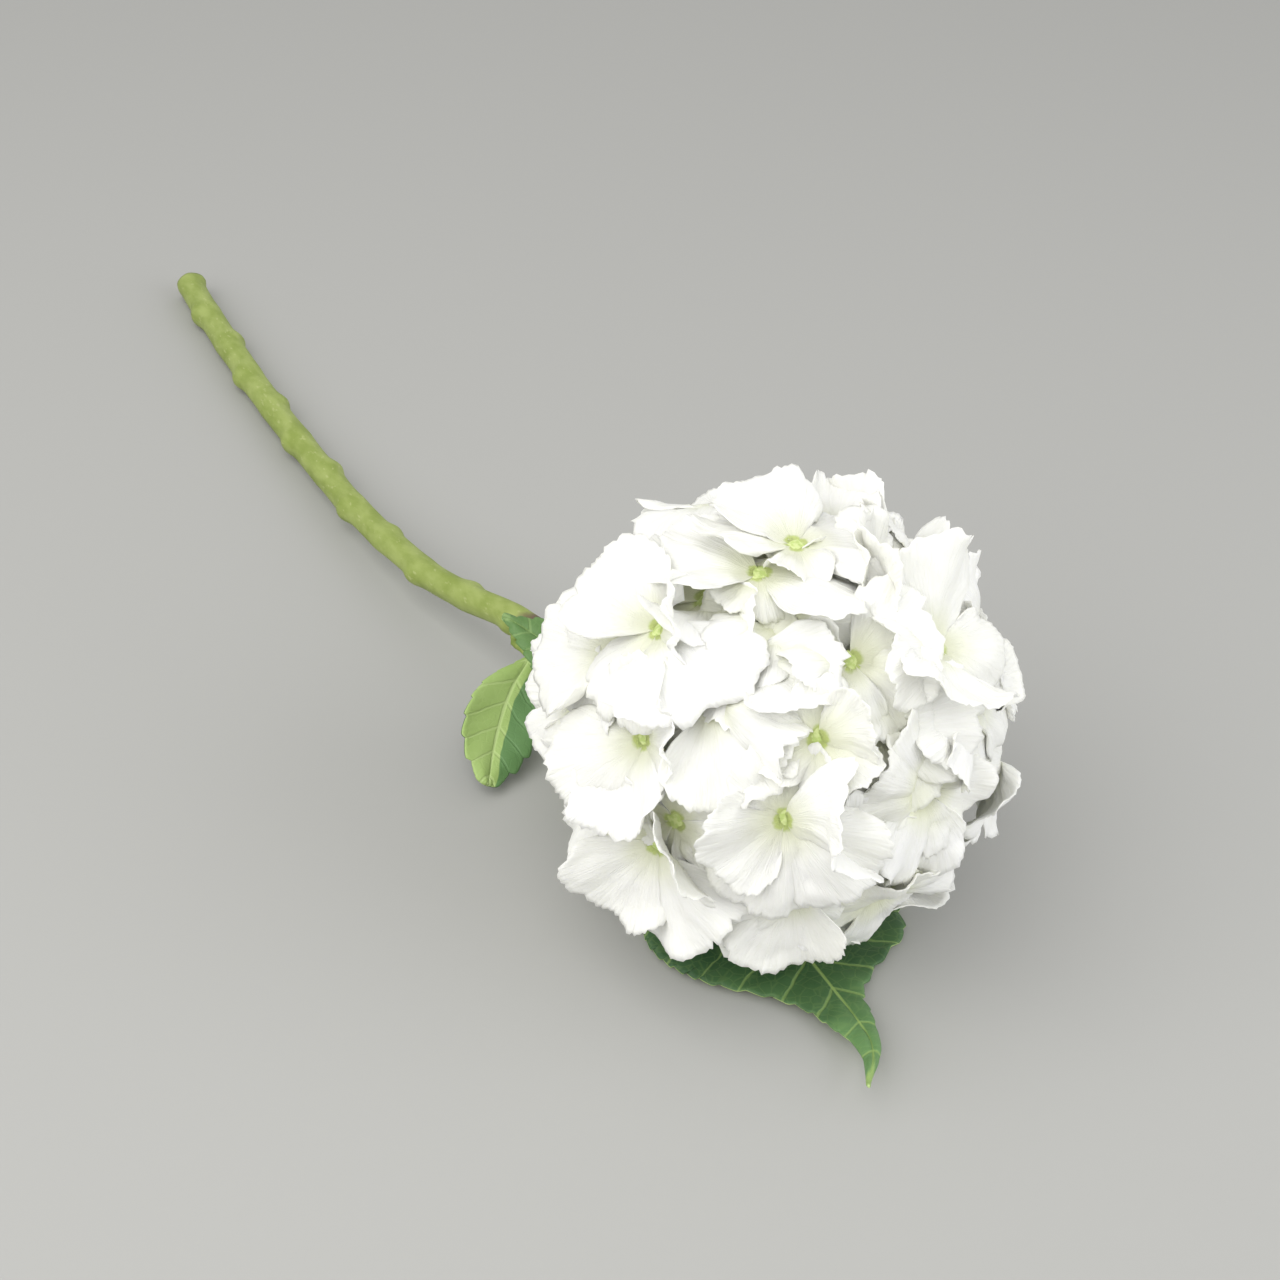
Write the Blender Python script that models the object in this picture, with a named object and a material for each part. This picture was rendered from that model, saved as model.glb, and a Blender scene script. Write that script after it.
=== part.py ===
"""Hydrangea flower head: a white mophead with three leaves on a cut stem, lying down.

Metres, +Z up. +X runs from the stem's cut end to the head. The origin is under the head's centre,
where the front leaf lies flat on the surface.
"""

import math
import random

import bmesh
import bpy
from mathutils import Matrix, Vector

SHEET = 0.0008
GAP = 0.0003

# Driving dimensions of the head
HEAD_CENTRE = Vector((0.0, 0.0, 0.076))
OUTER_RADIUS = 0.075
HUB_RADIUS = 0.015
STALK_RADIUS = 0.0010
NECK_RADII = (0.0046, 0.0076)

# A petal is a fan of so many degrees to each side, about so wide at most. It is flat near the
# eye, and the eye lies a little below it
PETAL_FAN = math.radians(58)
PETAL_HALF_WIDTH = 0.018
FLAT_EYE = 0.010
EYE_DIP = 0.0007

# In this solid a petal ends halfway to the next one, or at so much of its fan. The notches between
# petals lie so far along, the eye's rim at a radius, and a petal nearer to another is left out
WIDEST_ASIDE = 0.9
NOTCH_ALONG = 0.42
EYE_RIM = 0.004
LEAST_TURN = 18
DEEP_LAYER = 2
MOST_ROLL = 1.0

# Driving dimensions of the stem: its centre line from the cut end to the head, by hand
STEM_ROUTE = (
    (-0.482, 0.000, 0.0062),
    (-0.461, -0.003, 0.0062),
    (-0.413, -0.009, 0.0064),
    (-0.361, -0.015, 0.0070),
    (-0.311, -0.019, 0.0085),
    (-0.269, -0.022, 0.0105),
    (-0.232, -0.0235, 0.0140),
    (-0.199, -0.023, 0.0180),
    (-0.175, -0.0205, 0.0225),
    (-0.148, -0.016, 0.0285),
    (-0.118, -0.0115, 0.0315),
    (-0.084, -0.007, 0.0290),
    (-0.055, -0.0035, 0.0262),
    (-0.0385, -0.0026, 0.0295),
)
STEM_RADIUS = 0.0054
CUT_END_RADIUS = 0.0061
STEM_TOP_RADIUS = 0.0048
STEM_TOP = 0.032
NECK_DIRECTION = Vector((0.59, 0.036, 0.806)).normalized()
STEM_SIDES = 10
SCAR_SPACING = 0.031
SCAR_HALF_LENGTH = 0.005
SCAR_HEIGHT = 0.0018
COLLAR_FROM_TOP = 0.030
COLLAR_HALF_LENGTH = 0.010
COLLAR_HEIGHT = 0.0012

# Florets that the front view shows, and the low ones that the head lies on: azimuth and elevation
# of the eye seen from the head's centre, the layer, 0 outermost, and for each petal its turn round
# the eye and the lift of its tip, in degrees, its length in mm and, for some, its roll and twist
PLACED_FLORETS = (
    (-40, 87, 0, (128, 6, 31, 0.9, 0.0), (16, -10, 33, 0.2, -0.3), (166, -6, 35, 0.5, 0.2), (278, -2, 20)),
    (-77, 76, 1, (207, 6, 35, 0.2, 0.35), (28, -9, 38, 0.3, -0.4), (300, -2, 25), (120, -10, 27)),
    (-44, 66, 2, (12, -6, 35, 0.3, -0.4), (235, 6, 26), (180, -15, 28), (95, -15, 28)),
    (-102, 62, 3, (190, 14, 33, 0.2, 0.3), (350, 16, 30, 1.0, -0.5), (280, -10, 26), (95, -12, 26)),
    (-92, 48, 0, (178, 20, 33, 0.3, 0.3), (38, 46, 27, 0.5), (350, -4, 37, 0.2, -0.45), (285, -4, 33, -0.2, 0.0)),
    (-56, 53, 2, (356, 12, 32, 0.6, -0.4), (265, -2, 25), (190, -8, 26), (95, -15, 24)),
    (-11, 53, 0, (160, 4, 28), (314, 0, 31), (240, -5, 26), (60, -12, 26)),
    (-78, 23, 1, (232, 18, 34), (100, 10, 28), (284, 8, 34), (34, 42, 27, 0.6)),
    (-27, 35, 0, (77, -2, 26), (195, 2, 21), (20, 50, 22), (300, 42, 26)),
    (-62, 40, 1, (334, -6, 32), (347, 6, 37, -1.9), (312, -4, 36, 0.5, -0.3), (272, -14, 24)),
    (-68, 4, 1, (75, -2, 26), (330, -4, 34), (200, -12, 26), (262, -14, 26)),
    (-35, 15, 0, (205, 20, 29), (12, 58, 32), (262, 4, 35), (326, 6, 35), (100, -4, 27)),
    (-68, -5, 1, (243, 26, 33), (24, 36, 33, 0.9), (110, 40, 24), (303, 13, 36)),
    (26, 46, 0, (60, 28, 36, -0.3), (152, 6, 30), (220, 6, 32, 0.3), (306, -2, 30)),
    (41, 64, 1, (92, 36, 27, 0.6), (128, 48, 29, 0.6), (20, 0, 29), (280, -14, 26)),
    (103, 75, 2, (314, 10, 29), (302, 14, 30, 1.7), (190, 0, 29), (60, -4, 27)),
    (31, 28, 1, (20, 6, 28), (320, 0, 28), (165, -8, 31), (238, -4, 30)),
    (-3, 34, 2, (350, 12, 32), (285, -6, 32), (215, -2, 28), (90, -12, 26)),
    (7, 13, 2, (152, 6, 30), (252, 0, 33), (313, 12, 34), (70, -4, 30)),
    (-31, -10, 1, (278, 18, 33), (224, 4, 33), (323, -6, 31), (90, -5, 26)),
    (-16, 0, 2, (284, 0, 29), (340, -14, 30), (200, 0, 28), (60, -4, 28)),
    (-104, 34, 1, (234, 14, 33), (282, -4, 30), (186, 12, 31), (100, -8, 28)),
    (-142, 23, 2, (250, 22, 29), (175, 16, 29), (85, -4, 28), (340, -8, 28)),
    (64, 25, 1, (60, 12, 31), (150, 0, 28), (330, 8, 31), (240, -5, 28)),
    (96, 48, 1, (30, 12, 31), (120, 6, 31), (210, -4, 30), (300, 2, 30)),
    (-116, 10, 1, (195, 14, 31), (285, 2, 30), (15, -6, 28), (105, 4, 30)),
    (3, -31, 2, (30, -8, 29), (120, -4, 30), (210, -6, 30), (300, 6, 29)),
    (-62, -33, 2, (0, -4, 30), (90, -8, 28), (180, -2, 30), (272, 10, 29)),
    (-105, -22, 1, (20, -6, 28), (110, 6, 29), (238, 34, 33), (300, 8, 30)),
    (-142, -18, 2, (25, -12, 28), (115, -4, 29), (205, -10, 28), (295, -6, 29)),
    (-25, -64, 0, (10, 3, 29), (100, 3, 30), (190, 3, 29), (280, 3, 30)),
    (-100, -60, 1, (50, 3, 30), (140, 3, 29), (230, 3, 30), (320, 3, 29)),
    (45, -56, 0, (35, 3, 29), (125, 3, 30), (215, 3, 29), (305, 3, 30)),
)
LAYERS = 4
LAYER_STEP = 0.0034
SPIRAL_PLACES = 170
LEAST_SPACING = math.radians(29)
NEIGHBOUR_SPACING = math.radians(44)
STEM_SIDE = Vector((-0.66, -0.04, -0.75)).normalized()
STEM_CLEARANCE = math.radians(52)
TUCKED_IN = math.radians(83)
TUCK_PER_RADIAN = 0.016

# The dish on which the lowest petals and the front leaf lie: flat round the origin, then rising
# with the square of the reach beyond
FLAT_RADIUS = 0.030
LEAF_RISE = 2.3
PETAL_RISE = 3.6
PETAL_FLOOR = 0.0010
FLOOR_STEP = 0.0003
FLOOR_SOFTNESS = 0.0010

# Leaves: how far a tooth points forward, the blade's waves and the petiole's radii
TOOTH_REACH = 0.0022
TOOTH_DEPTH = 0.06
WAVE = 0.0012
PETIOLE_RADII = (0.0022, 0.0014)


def clear_scene():
    for obj in list(bpy.data.objects):
        bpy.data.objects.remove(obj)


def finish(name, colour, roughness):
    material = bpy.data.materials.new(name)
    material.use_nodes = True
    shader = material.node_tree.nodes["Principled BSDF"]
    shader.inputs["Base Color"].default_value = (*colour, 1)
    shader.inputs["Roughness"].default_value = roughness
    return material


def object_of(bm, name, material=None):
    """An object from a closed bmesh, its faces turned outwards."""
    bmesh.ops.recalc_face_normals(bm, faces=bm.faces)
    if bm.calc_volume(signed=True) < 0:
        bmesh.ops.reverse_faces(bm, faces=bm.faces)
    mesh = bpy.data.meshes.new(name)
    bm.to_mesh(mesh)
    bm.free()
    if material:
        mesh.materials.append(material)
    return bpy.data.objects.new(name, mesh)


def fuse(core, pieces):
    """One Boolean union of the pieces with the core, applied. The pieces are then removed."""
    group = bpy.data.collections.new("pieces")
    bpy.context.scene.collection.children.link(group)
    for piece in pieces:
        group.objects.link(piece)
    bpy.context.scene.collection.objects.link(core)
    union = core.modifiers.new("union", "BOOLEAN")
    union.operation = "UNION"
    union.operand_type = "COLLECTION"
    union.collection = group
    union.solver = "MANIFOLD"
    bpy.context.view_layer.update()
    graph = bpy.context.evaluated_depsgraph_get()
    fused = bpy.data.meshes.new_from_object(core.evaluated_get(graph))
    core.modifiers.clear()
    core.data = fused
    for piece in pieces:
        bpy.data.objects.remove(piece)
    bpy.data.collections.remove(group)
    keep_outer_body(core.data)


def keep_outer_body(mesh):
    """Fills each hollow that the union sealed, and drops each loose scrap: only the largest skin stays."""
    bm = bmesh.new()
    bm.from_mesh(mesh)
    bmesh.ops.triangulate(bm, faces=bm.faces)
    unseen = set(bm.faces)
    skins = []
    while unseen:
        front = [unseen.pop()]
        skin = []
        while front:
            face = front.pop()
            skin.append(face)
            for edge in face.edges:
                for other in edge.link_faces:
                    if other in unseen:
                        unseen.discard(other)
                        front.append(other)
        skins.append(skin)
    skins.sort(key=len)
    bmesh.ops.delete(bm, geom=[face for skin in skins[:-1] for face in skin], context="FACES")
    bm.to_mesh(mesh)
    bm.free()


def thicken(bm, thickness):
    """Turns a sheet of triangles into a closed blade: a copy along the normals, and a rim between."""
    bm.normal_update()
    rim = [edge for edge in bm.edges if edge.is_boundary]
    sheet = list(bm.faces)
    above = {vert: bm.verts.new(vert.co + thickness * vert.normal) for vert in list(bm.verts)}
    for face in sheet:
        bm.faces.new([above[vert] for vert in face.verts])
        face.normal_flip()
    for edge in rim:
        a, b = edge.verts
        bm.faces.new((a, b, above[b]))
        bm.faces.new((a, above[b], above[a]))


def smooth_route(points, step):
    """Points about a step apart along a smooth curve through the given ones."""
    points = [Vector(point) for point in points]
    ends = [2 * points[0] - points[1], *points, 2 * points[-1] - points[-2]]
    route = []
    for before, start, end, after in zip(ends, ends[1:], ends[2:], ends[3:]):
        count = max(1, round((end - start).length / step))
        for i in range(count):
            t = i / count
            route.append(
                start
                + 0.5 * t * (end - before)
                + t * t * (before - 2.5 * start + 2 * end - 0.5 * after)
                + t ** 3 * (1.5 * start - 1.5 * end + 0.5 * after - 0.5 * before)
            )
    route.append(points[-1])
    return route


def tangents(route):
    ends = [route[0], *route, route[-1]]
    return [(after - before).normalized() for before, after in zip(ends, ends[2:])]


def across(tangent):
    """The level direction across a tangent, and the direction that completes the two."""
    side = Vector((0, 0, 1)).cross(tangent)
    if side.length < 0.01:
        side = Vector((1, 0, 0))
    side.normalize()
    return side, tangent.cross(side)


def tube(route, radius_at, sides):
    """A closed tube. radius_at gives the radius at a row and an angle round it."""
    bm = bmesh.new()
    rows = []
    for i, (point, tangent) in enumerate(zip(route, tangents(route))):
        side, rise = across(tangent)
        row = []
        for k in range(sides):
            angle = 2 * math.pi * k / sides
            radius = radius_at(i, angle)
            row.append(bm.verts.new(point + radius * (math.cos(angle) * side + math.sin(angle) * rise)))
        rows.append(row)
    for row, after in zip(rows, rows[1:]):
        for k in range(sides):
            n = (k + 1) % sides
            bm.faces.new((row[k], row[n], after[n]))
            bm.faces.new((row[k], after[n], after[k]))
    bm.faces.new(rows[0])
    bm.faces.new(rows[-1])
    return bm


def direction(azimuth, elevation):
    azimuth, elevation = math.radians(azimuth), math.radians(elevation)
    level = math.cos(elevation)
    return Vector((level * math.cos(azimuth), level * math.sin(azimuth), math.sin(elevation)))


def floret_places():
    """The placed florets, then the rest by a spiral rule that keeps clear of them and of the stem.

    A spiral floret takes the outermost layer that the fewest of its neighbours are in, and tilts
    a little to one side."""
    draw = random.Random(14)
    places = [(direction(*place[:2]), place[2], place[3:]) for place in PLACED_FLORETS]
    for i in range(SPIRAL_PLACES):
        height = 1 - (2 * i + 1) / SPIRAL_PLACES
        turn = i * math.pi * (3 - math.sqrt(5))
        level = math.sqrt(1 - height * height)
        outward = Vector((level * math.cos(turn), level * math.sin(turn), height))
        if outward.angle(STEM_SIDE) < STEM_CLEARANCE:
            continue
        if min(outward.angle(place[0]) for place in places) < LEAST_SPACING:
            continue
        near = [place[1] for place in places if outward.angle(place[0]) < NEIGHBOUR_SPACING]
        layer = min(range(LAYERS), key=lambda layer: near.count(layer) + 0.1 * layer)
        spin = draw.uniform(0, 90)
        toward = draw.uniform(0, 360)
        tilt = draw.uniform(2, 10)
        petals = []
        for k in range(4):
            turn = spin + 90 * k + draw.uniform(-9, 9)
            lift = draw.uniform(-14, 6) + tilt * math.cos(math.radians(turn - toward))
            petals.append((turn, lift, draw.uniform(29, 35)))
        places.append((outward, layer, petals))
    return places


class Petal:
    """A broad rounded petal in its floret's frame: east and north across the eye, and outward."""

    def __init__(self, draw, turn, lift, length, roll=None, twist=None):
        self.turn = turn % 360
        self.lift = math.radians(lift)
        self.length = length / 1000
        self.widen = draw.uniform(0.92, 1.12)
        self.arch = draw.uniform(0.03, 0.10) - 0.24 * max(0, math.sin(self.lift)) ** 1.5
        self.roll = draw.uniform(-0.7, 0.6)
        if roll is not None:
            self.roll = min(MOST_ROLL, max(-MOST_ROLL, roll))
        self.twist = draw.uniform(-0.22, 0.22)
        if twist is not None:
            self.twist = twist

    def point(self, along, aside):
        """along runs from the eye, 0, to the rim, 1, and aside from one edge, -1, to the other, 1."""
        share = 0.46 + 0.54 * max(0, 1 - abs(aside) ** 3) ** 0.5
        reach = self.length * share * along
        ahead = reach * math.cos(PETAL_FAN * aside)
        wide = reach * math.sin(PETAL_FAN * aside) * self.widen
        x = ahead / self.length
        high = self.length * self.arch * 4 * x * (1 - x)
        high += wide * self.twist * min(1, 2 * x)
        high -= 0.5 * wide * wide / OUTER_RADIUS * math.cos(self.lift)
        bend = self.roll * min(1, 1.6 * x) / PETAL_HALF_WIDTH
        if abs(bend * wide) > 0.02:
            high += (1 - math.cos(bend * wide)) / bend
            wide = math.sin(bend * wide) / bend
        high *= min(1, reach / FLAT_EYE) ** 2
        risen = self.length * x * x * 1.12 / (x + 0.12)
        out = ahead * math.cos(self.lift) - high * math.sin(self.lift)
        up = risen * math.sin(self.lift) + high * math.cos(self.lift)
        up -= EYE_DIP * max(0, 1 - reach / FLAT_EYE)
        turn = math.radians(self.turn)
        cos, sin = math.cos(turn), math.sin(turn)
        return Vector((out * cos - wide * sin, out * sin + wide * cos, up))


def over_dish(point, floor):
    """The point, lifted softly where it would come under the dish that the petals lie on."""
    reach = max(0.0, math.hypot(point.x, point.y) - FLAT_RADIUS)
    lowest = floor + PETAL_RISE * reach ** 2
    above = (point.z - lowest) / FLOOR_SOFTNESS
    if above > 10:
        return point
    return Vector((point.x, point.y, lowest + FLOOR_SOFTNESS * math.log1p(math.exp(above))))


def floret_frame(outward, layer):
    """The floret's eye, and its east, north and outward directions."""
    tuck = TUCK_PER_RADIAN * max(0.0, TUCKED_IN - outward.angle(STEM_SIDE))
    eye = HEAD_CENTRE + (OUTER_RADIUS - LAYER_STEP * layer - tuck) * outward
    east = Vector((0, 0, 1)).cross(outward).normalized()
    return eye, Matrix((east, outward.cross(east), outward)).transposed()


def floret(petals, outward, layer, floor):
    """One sheet with a lobe for each petal, pleated between eye, notches and rim, then thickened."""
    eye, frame = floret_frame(outward, layer)
    petals.sort(key=lambda petal: petal.turn)
    petals = [petal for k, petal in enumerate(petals) if (petal.turn - petals[k - 1].turn) % 360 > LEAST_TURN]
    bm = bmesh.new()

    def vertex(local):
        return bm.verts.new(over_dish(eye + frame @ local, floor))

    notches = []
    eyelets = []
    sides = []
    for k, petal in enumerate(petals):
        before = petals[k - 1]
        apart = (petal.turn - before.turn) % 360
        side = min(WIDEST_ASIDE, 0.48 * math.radians(apart) / PETAL_FAN)
        sides.append(side)
        notches.append([vertex((before.point(NOTCH_ALONG, side) + petal.point(NOTCH_ALONG, -side)) / 2)])
        if apart > 130:
            bm.verts.remove(notches[-1][0])
            notches[-1] = [vertex(before.point(NOTCH_ALONG, side)), vertex(petal.point(NOTCH_ALONG, -side))]
        middle = math.radians(before.turn + apart / 2)
        eyelets.append(vertex(Vector((EYE_RIM * math.cos(middle), EYE_RIM * math.sin(middle), -EYE_DIP))))
    for a, b in zip(eyelets[1:], eyelets[2:]):
        bm.faces.new((eyelets[0], a, b))
    for k, petal in enumerate(petals):
        n = (k + 1) % len(petals)
        middle = vertex(petal.point(0.62, 0))
        inner = [-0.4 * sides[k], 0.4 * sides[n]] if layer < DEEP_LAYER else [0]
        rim = [vertex(petal.point(1, aside)) for aside in (-sides[k], *inner, sides[n])]
        ring = [eyelets[k], notches[k][-1], *rim, notches[n][0], eyelets[n], eyelets[k]]
        for a, b in zip(ring, ring[1:]):
            bm.faces.new((middle, a, b))
        if len(notches[k]) > 1:
            bm.faces.new((eyelets[k], *notches[k]))
    bmesh.ops.recalc_face_normals(bm, faces=bm.faces)
    bm.normal_update()
    if sum((face.normal for face in bm.faces), Vector()).dot(outward) > 0:
        bmesh.ops.reverse_faces(bm, faces=bm.faces)
    seat = eyelets[0].co.lerp(eyelets[2].co, 0.5) - 0.5 * SHEET * outward
    thicken(bm, SHEET)
    return object_of(bm, "floret"), seat


def stalk(start, end):
    """The stalk from the hub to a floret, its end sunk in the sheet under the eye."""
    return object_of(tube([start, end], lambda row, angle: STALK_RADIUS, 3), "stalk")


def flower_head(material):
    draw = random.Random(23)
    pieces = []
    for i, (outward, layer, measures) in enumerate(floret_places()):
        petals = [Petal(draw, *measure) for measure in measures]
        sheet, seat = floret(petals, outward, layer, PETAL_FLOOR + FLOOR_STEP * (i % 5))
        pieces.append(sheet)
        pieces.append(stalk(HEAD_CENTRE.copy(), seat))
    neck_end = HEAD_CENTRE - (STEM_TOP - GAP) * NECK_DIRECTION
    neck = tube([neck_end, HEAD_CENTRE.copy()], lambda row, angle: NECK_RADII[row], 8)
    pieces.append(object_of(neck, "neck"))
    bm = bmesh.new()
    bmesh.ops.create_icosphere(bm, subdivisions=2, radius=HUB_RADIUS)
    bmesh.ops.translate(bm, verts=bm.verts, vec=HEAD_CENTRE)
    core = object_of(bm, "flower_head", material)
    fuse(core, pieces)
    core.data.materials.clear()
    core.data.materials.append(material)


def blade_shape(t):
    """A leaf's half width from its base, 0, to its drawn-out tip, 1, as a share of the widest."""
    t = 0.03 + 0.97 * t
    return 1.22 * max(0.0, math.sin(math.pi * t ** 0.62)) ** 0.9 * (1 - t) ** 0.5


def leaf(name, material, route, petiole, half_width, fold, roll, lay=None, teeth=15):
    """A toothed blade along its midrib's route, thickened, and fused to its petiole.

    fold lifts both halves from the midrib and roll turns the blade round it, in degrees.
    lay gives a height for a blade that lies on the surface."""
    line = smooth_route(route, 0.001)
    bm = bmesh.new()
    rows = []
    count = 2 * teeth
    directions = tangents(line)
    for i in range(count + 1):
        t = i / count
        at = min(len(line) - 1, round(t * (len(line) - 1)))
        side, rise = across(directions[at])
        turn = math.radians(roll[0] + (roll[1] - roll[0]) * t)
        side, rise = (
            math.cos(turn) * side + math.sin(turn) * rise,
            math.cos(turn) * rise - math.sin(turn) * side,
        )
        tooth = i % 2
        half = half_width * blade_shape(t) * (1 - TOOTH_DEPTH * (1 - tooth))
        forward = TOOTH_REACH * tooth * directions[at]
        row = []
        for aside in (-1, -0.66, -0.33, 0, 0.33, 0.66, 1):
            bend = math.radians(fold)
            wave = WAVE * math.sin(9 * t + 3 * aside) * abs(aside)
            place = line[at] + half * aside * math.cos(bend) * side + forward * abs(aside)
            place = place + (half * abs(aside) * math.sin(bend) + wave) * rise
            if lay:
                place.z = lay(place.x, place.y, wave)
            row.append(place)
        rows.append(row)
    tip = rows[-1][3]
    grid = [[bm.verts.new(place) for place in row] for row in rows[:-1]]
    for low, high in zip(grid, grid[1:]):
        for k in range(6):
            a, b, c, d = low[k], low[k + 1], high[k + 1], high[k]
            for corners in ((a, b, c), (a, c, d)) if k < 3 else ((a, b, d), (b, c, d)):
                bm.faces.new(corners)
    point = bm.verts.new(tip)
    for a, b in zip(grid[-1], grid[-1][1:]):
        bm.faces.new((a, b, point))
    bm.normal_update()
    bm.faces.ensure_lookup_table()
    if bm.faces[0].normal.dot(across(directions[0])[1]) < 0:
        bmesh.ops.reverse_faces(bm, faces=bm.faces)
    thicken(bm, SHEET)
    blade = object_of(bm, name, material)
    line = smooth_route(petiole, 0.004)
    last = len(line) - 1
    thick, thin = PETIOLE_RADII
    stalk_tube = tube(line, lambda row, angle: thick + (thin - thick) * row / last, 6)
    fuse(blade, [object_of(stalk_tube, "petiole")])
    blade.data.materials.clear()
    blade.data.materials.append(material)


def front_leaf_height(x, y, wave):
    """Flat on the surface under the head, dished up towards the margins and the base."""
    reach = max(0.0, math.hypot(x, y) - FLAT_RADIUS)
    base = max(0.0, -0.010 - x)
    settled = min(1.0, reach / 0.02)
    return max(0.0, LEAF_RISE * reach ** 2 + 20 * base ** 2 + 0.5 * settled * wave)


def stem(material):
    route = [*STEM_ROUTE]
    for back in (STEM_TOP + 0.014, STEM_TOP):
        route.append(tuple(HEAD_CENTRE - back * NECK_DIRECTION))
    line = smooth_route(route, 0.009)
    last = len(line) - 1
    length = [0.0]
    for a, b in zip(line, line[1:]):
        length.append(length[-1] + (b - a).length)

    def radius_at(row, angle):
        """Tapered, with a leaf scar on alternate sides, and full where the leaf pair grows."""
        taper = length[row] / length[last]
        radius = CUT_END_RADIUS + (STEM_RADIUS - CUT_END_RADIUS) * min(1, 1.3 * taper)
        if row == 0:
            return radius - 0.0002
        if row >= last - 1:
            return STEM_TOP_RADIUS
        scar = round(length[row] / SCAR_SPACING)
        near = math.exp(-((length[row] - scar * SCAR_SPACING) / SCAR_HALF_LENGTH) ** 2)
        face = max(0.0, math.cos(angle - math.pi * (scar % 2)))
        if taper < 0.85:
            radius += SCAR_HEIGHT * near * face
        collar = (length[last] - length[row] - COLLAR_FROM_TOP) / COLLAR_HALF_LENGTH
        return radius + COLLAR_HEIGHT * math.exp(-collar ** 2)

    bm = tube(line, radius_at, STEM_SIDES)
    bpy.context.scene.collection.objects.link(object_of(bm, "stem", material))


clear_scene()
petal_white = finish("petal_white", (0.88, 0.88, 0.82), 0.75)
leaf_green = finish("leaf_green", (0.045, 0.11, 0.05), 0.6)
stem_green = finish("stem_green", (0.30, 0.38, 0.12), 0.55)
stem(stem_green)
flower_head(petal_white)
leaf(
    "leaf_front",
    leaf_green,
    route=(
        (-0.022, -0.006, 0.003),
        (0.010, -0.005, 0),
        (0.041, -0.007, 0),
        (0.084, -0.016, 0.007),
        (0.106, -0.034, 0.015),
    ),
    petiole=(
        (-0.0415, -0.0023, 0.0212),
        (-0.036, -0.003, 0.013),
        (-0.028, -0.005, 0.007),
        (-0.019, -0.006, 0.0022),
    ),
    half_width=0.047,
    fold=0,
    roll=(0, 0),
    lay=front_leaf_height,
)
leaf(
    "leaf_low",
    leaf_green,
    route=(
        (-0.136, -0.024, 0.019),
        (-0.120, -0.038, 0.016),
        (-0.103, -0.050, 0.011),
        (-0.087, -0.060, 0.005),
    ),
    petiole=(
        (-0.148, -0.0194, 0.0229),
        (-0.148, -0.0206, 0.0209),
        (-0.142, -0.0235, 0.0195),
        (-0.133, -0.0265, 0.0185),
    ),
    half_width=0.026,
    fold=25,
    roll=(-20, -30),
    teeth=13,
)
leaf(
    "leaf_back",
    leaf_green,
    route=(
        (-0.062, -0.016, 0.030),
        (-0.080, -0.025, 0.038),
        (-0.098, -0.032, 0.049),
        (-0.116, -0.039, 0.062),
    ),
    petiole=(
        (-0.045, -0.0098, 0.0274),
        (-0.0465, -0.0135, 0.0274),
        (-0.053, -0.0165, 0.0283),
        (-0.065, -0.0175, 0.0315),
    ),
    half_width=0.021,
    fold=12,
    roll=(0, 10),
    teeth=11,
)
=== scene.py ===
"""A white mophead hydrangea, cut with a long stem and laid on a pale table.

Metres, in the model's own frame: +X from the stem's cut end to the head, +Z up from the table.
"""

import math
import random

import bmesh
import bpy
from mathutils import Matrix, Vector, noise


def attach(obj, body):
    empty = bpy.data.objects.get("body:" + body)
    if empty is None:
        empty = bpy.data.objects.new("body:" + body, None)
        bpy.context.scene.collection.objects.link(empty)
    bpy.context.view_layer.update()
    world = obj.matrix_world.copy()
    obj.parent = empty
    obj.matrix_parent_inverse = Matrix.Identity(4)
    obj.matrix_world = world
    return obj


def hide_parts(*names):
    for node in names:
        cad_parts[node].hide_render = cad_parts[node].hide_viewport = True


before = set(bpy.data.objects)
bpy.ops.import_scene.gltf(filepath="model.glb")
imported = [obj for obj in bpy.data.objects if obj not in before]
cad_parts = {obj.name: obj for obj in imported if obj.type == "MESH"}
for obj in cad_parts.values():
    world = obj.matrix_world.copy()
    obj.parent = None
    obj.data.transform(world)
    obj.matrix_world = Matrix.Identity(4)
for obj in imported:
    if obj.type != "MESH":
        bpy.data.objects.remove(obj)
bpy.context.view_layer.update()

# Camera
# The photograph looks down on the bloom over its head, the stem running away to the upper left.
# Its frame is square, and the head lies right of the middle.
CAMERA_PLACE = Vector((0.47868, -0.39465, 0.57623))
CAMERA_RIGHT = Vector((0.54334, 0.83792, 0.04912))
CAMERA_UP = Vector((-0.52973, 0.29693, 0.79444))
CAMERA_BACK = CAMERA_RIGHT.cross(CAMERA_UP)
FOCAL_LENGTH = 66.54

lens = bpy.data.cameras.new("camera")
lens.sensor_width = 36
lens.lens = FOCAL_LENGTH
lens.clip_start = 0.01
camera = bpy.data.objects.new("camera", lens)
camera.matrix_world = Matrix.Translation(CAMERA_PLACE) @ Matrix(
    (CAMERA_RIGHT, CAMERA_UP, CAMERA_BACK)
).transposed().to_4x4()
bpy.context.scene.collection.objects.link(camera)
bpy.context.scene.camera = camera


# Stem
# A green woody shoot about as thick as a little finger, cut square at its far end. It bends up at
# the neck into the head, and has the scar of an old leaf every few centimetres, on either side.
STEM_ROUTE = (
    (-0.482, 0.000, 0.0062),
    (-0.461, -0.003, 0.0062),
    (-0.413, -0.009, 0.0064),
    (-0.361, -0.015, 0.0070),
    (-0.311, -0.019, 0.0085),
    (-0.269, -0.022, 0.0105),
    (-0.232, -0.0235, 0.0140),
    (-0.199, -0.023, 0.0180),
    (-0.175, -0.0205, 0.0225),
    (-0.148, -0.016, 0.0285),
    (-0.118, -0.0115, 0.0315),
    (-0.084, -0.007, 0.0290),
    (-0.055, -0.0035, 0.0262),
    (-0.0385, -0.0026, 0.0295),
)
HEAD_CENTRE = Vector((0, 0, 0.076))
NECK_DIRECTION = Vector((0.59, 0.036, 0.806)).normalized()
NECK_LENGTHS = (0.046, 0.032, 0.012)
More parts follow.
